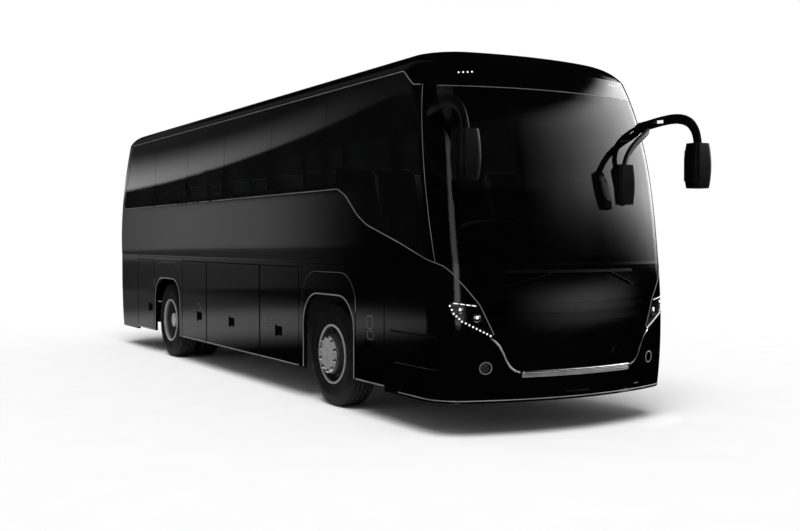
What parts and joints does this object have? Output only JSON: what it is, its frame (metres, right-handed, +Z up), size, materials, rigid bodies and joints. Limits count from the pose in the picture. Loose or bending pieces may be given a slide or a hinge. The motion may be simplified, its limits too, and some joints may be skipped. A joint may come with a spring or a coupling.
{
  "type": "touring coach",
  "caption": "Two-axle touring coach with bonded dark glazing, top-hung luggage hatches, a swing-out entry door, steered front wheels and twin rear wheels.",
  "frame": {"origin": "on the ground under the middle of the overall box", "axes": "+X forward, +Y left, +Z up"},
  "size_m": [10.6004, 2.78, 3.4148],
  "materials": {
    "paint": "gloss black paint",
    "glass": "tinted glass",
    "lamp": "clear lamp cover",
    "red_lamp": "red lens",
    "black_plastic": "satin black",
    "steel": "bare chassis steel",
    "iron": "dark casting",
    "alloy": "polished",
    "tyre": "black rubber",
    "floor": "floor covering on panels",
    "fabric": "seat cloth"
  },
  "bodies": {
    "body": {"arch_panels": "paint", "cabin_floor": "floor", "dashboard": "black_plastic", "engine": "iron", "front_axle": "iron", "front_cap": "paint", "front_lamps": "lamp", "glazing": "glass", "hinge_rails": "paint", "luggage_hold": "alloy", "mirrors": "black_plastic", "nose_panel": "paint", "racks": "black_plastic", "rear_axle": "iron", "rear_cap": "paint", "rear_wall": "paint", "roof": "paint", "seats": "fabric", "side_wall_left": "paint", "side_wall_right": "paint", "subframes": "steel", "tail_lamps": "red_lamp", "tow_socket": "steel", "wheel_housings": "black_plastic", "windscreen": "glass", "windscreen_frame": "paint", "wipers": "black_plastic"},
    "knuckle_left": {"knuckle_left": "iron"},
    "knuckle_right": {"knuckle_right": "iron"},
    "wheel_front_left": {"rim_front_left": "alloy", "tyre_front_left": "tyre"},
    "wheel_front_right": {"rim_front_right": "alloy", "tyre_front_right": "tyre"},
    "wheel_rear_left": {"rims_rear_left": "alloy", "tyres_rear_left": "tyre"},
    "wheel_rear_right": {"rims_rear_right": "alloy", "tyres_rear_right": "tyre"},
    "door_arms": {"door_arms": "alloy"},
    "door_leaf": {"door_leaf": "paint", "door_glass": "glass"},
    "engine_lid": {"engine_lid": "paint"},
    "locker_flap_right": {"locker_flap_right": "paint"},
    "service_flap_right": {"service_flap_right": "paint"},
    "engine_flap_right": {"engine_flap_right": "paint"},
    "hatch_right_1": {"hatch_right_1": "paint"},
    "hatch_right_2": {"hatch_right_2": "paint"},
    "hatch_right_3": {"hatch_right_3": "paint"},
    "hatch_left_1": {"hatch_left_1": "paint"},
    "hatch_left_2": {"hatch_left_2": "paint"},
    "hatch_left_3": {"hatch_left_3": "paint"}
  },
  "joints": [
    {"name": "steer_left", "type": "hinge", "parent": "body", "child": "knuckle_left", "pos_m": [2.7, 0.96, 0.525], "axis": [0, 0, 1], "range_deg": [-40, 40]},
    {"name": "spin_front_left", "type": "hinge", "parent": "knuckle_left", "child": "wheel_front_left", "pos_m": [2.7, 1.093, 0.525], "axis": [0, 1, 0], "continuous": true},
    {"name": "spin_rear_left", "type": "hinge", "parent": "body", "child": "wheel_rear_left", "pos_m": [-2.55, 1.093, 0.525], "axis": [0, 1, 0], "continuous": true},
    {"name": "steer_right", "type": "hinge", "parent": "body", "child": "knuckle_right", "pos_m": [2.7, -0.96, 0.525], "axis": [0, 0, 1], "range_deg": [-40, 40]},
    {"name": "spin_front_right", "type": "hinge", "parent": "knuckle_right", "child": "wheel_front_right", "pos_m": [2.7, -1.093, 0.525], "axis": [0, 1, 0], "continuous": true},
    {"name": "spin_rear_right", "type": "hinge", "parent": "body", "child": "wheel_rear_right", "pos_m": [-2.55, -1.093, 0.525], "axis": [0, 1, 0], "continuous": true},
    {"name": "hatch_right_1_hinge", "type": "hinge", "parent": "body", "child": "hatch_right_1", "pos_m": [-1.3755, -1.263, 1.425], "axis": [-1, 0, 0], "range_deg": [0, 90]},
    {"name": "hatch_right_2_hinge", "type": "hinge", "parent": "body", "child": "hatch_right_2", "pos_m": [0.019, -1.263, 1.425], "axis": [-1, 0, 0], "range_deg": [0, 90]},
    {"name": "hatch_right_3_hinge", "type": "hinge", "parent": "body", "child": "hatch_right_3", "pos_m": [1.4695, -1.263, 1.425], "axis": [-1, 0, 0], "range_deg": [0, 90]},
    {"name": "hatch_left_1_hinge", "type": "hinge", "parent": "body", "child": "hatch_left_1", "pos_m": [-1.3755, 1.263, 1.425], "axis": [1, 0, 0], "range_deg": [0, 90]},
    {"name": "hatch_left_2_hinge", "type": "hinge", "parent": "body", "child": "hatch_left_2", "pos_m": [0.019, 1.263, 1.425], "axis": [1, 0, 0], "range_deg": [0, 90]},
    {"name": "hatch_left_3_hinge", "type": "hinge", "parent": "body", "child": "hatch_left_3", "pos_m": [1.4695, 1.263, 1.425], "axis": [1, 0, 0], "range_deg": [0, 90]},
    {"name": "service_flap_right_hinge", "type": "hinge", "parent": "body", "child": "service_flap_right", "pos_m": [3.595, -1.263, 1.425], "axis": [-1, 0, 0], "range_deg": [0, 90]},
    {"name": "engine_flap_right_hinge", "type": "hinge", "parent": "body", "child": "engine_flap_right", "pos_m": [-3.5875, -1.263, 1.425], "axis": [-1, 0, 0], "range_deg": [0, 90]},
    {"name": "locker_flap_right_hinge", "type": "hinge", "parent": "body", "child": "locker_flap_right", "pos_m": [4.37, -1.263, 0.853], "axis": [-1, 0, 0], "range_deg": [0, 90]},
    {"name": "engine_lid_hinge", "type": "hinge", "parent": "body", "child": "engine_lid", "pos_m": [-5.288, 0, 1.425], "axis": [0, 1, 0], "range_deg": [0, 80]},
    {"name": "door_arm_hinge", "type": "hinge", "parent": "body", "child": "door_arms", "pos_m": [4.3, 1.12, 1.5], "axis": [0, 0, -1], "range_deg": [0, 100]},
    {"name": "door_leaf_hinge", "type": "hinge", "parent": "door_arms", "child": "door_leaf", "pos_m": [3.6, 1.12, 1.5], "axis": [0, 0, -1], "range_deg": [-100, 0]}
  ],
  "couplings": [
    {"joint": "steer_right", "follows": "steer_left", "ratio": 1},
    {"joint": "door_leaf_hinge", "follows": "door_arm_hinge", "ratio": -1}
  ]
}
